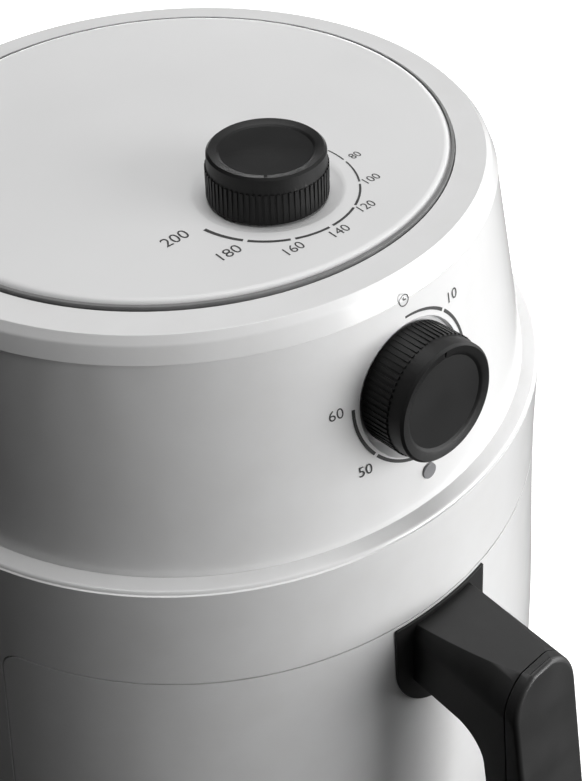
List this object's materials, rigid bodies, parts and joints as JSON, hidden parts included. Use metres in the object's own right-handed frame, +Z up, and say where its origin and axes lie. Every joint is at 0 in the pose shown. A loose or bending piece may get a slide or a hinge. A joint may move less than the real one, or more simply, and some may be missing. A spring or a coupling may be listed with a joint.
{
  "type": "air fryer",
  "caption": "Round white hot-air fryer, narrower at the top, with a pull-out pan drawer, a swept black handle, a dial on the lid and a dial on the front.",
  "frame": {"origin": "middle of the footprint's box on the surface that the feet stand on", "axes": "+Z up, the drawer opens towards -Y, +X is to the right for a user who faces the drawer"},
  "size_m": [0.275, 0.3472, 0.3217],
  "materials": {
    "white_gloss": "glossy",
    "white_satin": "satin",
    "dark_base": "matt",
    "dial_black": "matt",
    "handle_black": "satin",
    "grey_plastic": "matt",
    "rubber": "matt",
    "steel": "brushed",
    "galvanised": "satin",
    "aluminium": "satin",
    "element_steel": "oxidised",
    "nonstick": "non-stick coating",
    "brass": "polished",
    "lamination": "rough",
    "winding": "varnished",
    "lens_grey": "glossy",
    "lamp": "glossy",
    "ceramic": "matt"
  },
  "bodies": {
    "housing": {"base_plate": "dark_base", "rubber_feet": "rubber", "base_screws": "galvanised", "lower_housing": "white_gloss", "drawer_bezel": "white_satin", "chamber_liner": "steel", "pan_rails": "steel", "chamber_roof": "aluminium", "mid_plate": "galvanised", "upper_housing": "white_gloss", "top_rim": "white_gloss", "top_cover": "white_satin", "rear_vent": "white_satin", "cord_gland": "rubber", "thermostat": "ceramic", "thermostat_bulb": "steel", "timer_case": "grey_plastic", "timer_bell": "steel", "indicator_lens": "lens_grey", "indicator_lamp": "lamp", "heating_element": "element_steel", "element_brackets": "steel", "fan_guard": "steel", "motor_stator": "lamination", "motor_coil": "winding", "motor_bracket": "galvanised", "motor_top_bracket": "galvanised", "motor_bearings": "brass", "motor_screws": "galvanised", "safety_switch": "grey_plastic", "terminal_block": "ceramic", "thermal_fuse": "ceramic"},
    "temperature_dial": {"temperature_knob": "dial_black", "thermostat_shaft": "steel"},
    "timer_dial": {"timer_knob": "dial_black", "timer_shaft": "steel"},
    "fan_rotor": {"hot_air_fan": "aluminium", "fan_shaft": "steel", "cooling_fan": "grey_plastic", "motor_rotor": "lamination"},
    "drawer": {"drawer_front": "white_gloss", "pan": "nonstick", "handle": "handle_black", "grip_cover": "handle_black", "handle_screws": "galvanised"},
    "tray": {"crisper_tray": "nonstick", "tray_bumpers": "rubber"},
    "plunger": {"switch_plunger": "grey_plastic"}
  },
  "joints": [
    {"name": "temperature_turn", "type": "hinge", "parent": "housing", "child": "temperature_dial", "pos_m": [0, -0.01907, 0.32], "axis": [0, 0, 1], "range_deg": [-40, 138]},
    {"name": "timer_turn", "type": "hinge", "parent": "housing", "child": "timer_dial", "pos_m": [0, -0.08701, 0.263], "axis": [0, 0.9962, -0.0872], "range_deg": [0, 277]},
    {"name": "fan_spin", "type": "hinge", "parent": "housing", "child": "fan_rotor", "pos_m": [0, 0.02533, 0.24], "axis": [0, 0, 1], "continuous": true},
    {"name": "drawer_pull", "type": "slide", "parent": "housing", "child": "drawer", "axis": [0, -1, 0], "range_m": [0, 0.19]},
    {"name": "tray_lift", "type": "slide", "parent": "drawer", "child": "tray", "axis": [0, 0, 1], "range_m": [0, 0.1]},
    {"name": "switch_press", "type": "slide", "parent": "housing", "child": "plunger", "axis": [0, 1, 0], "range_m": [0, 0.004], "stiffness_N_per_m": 200}
  ]
}
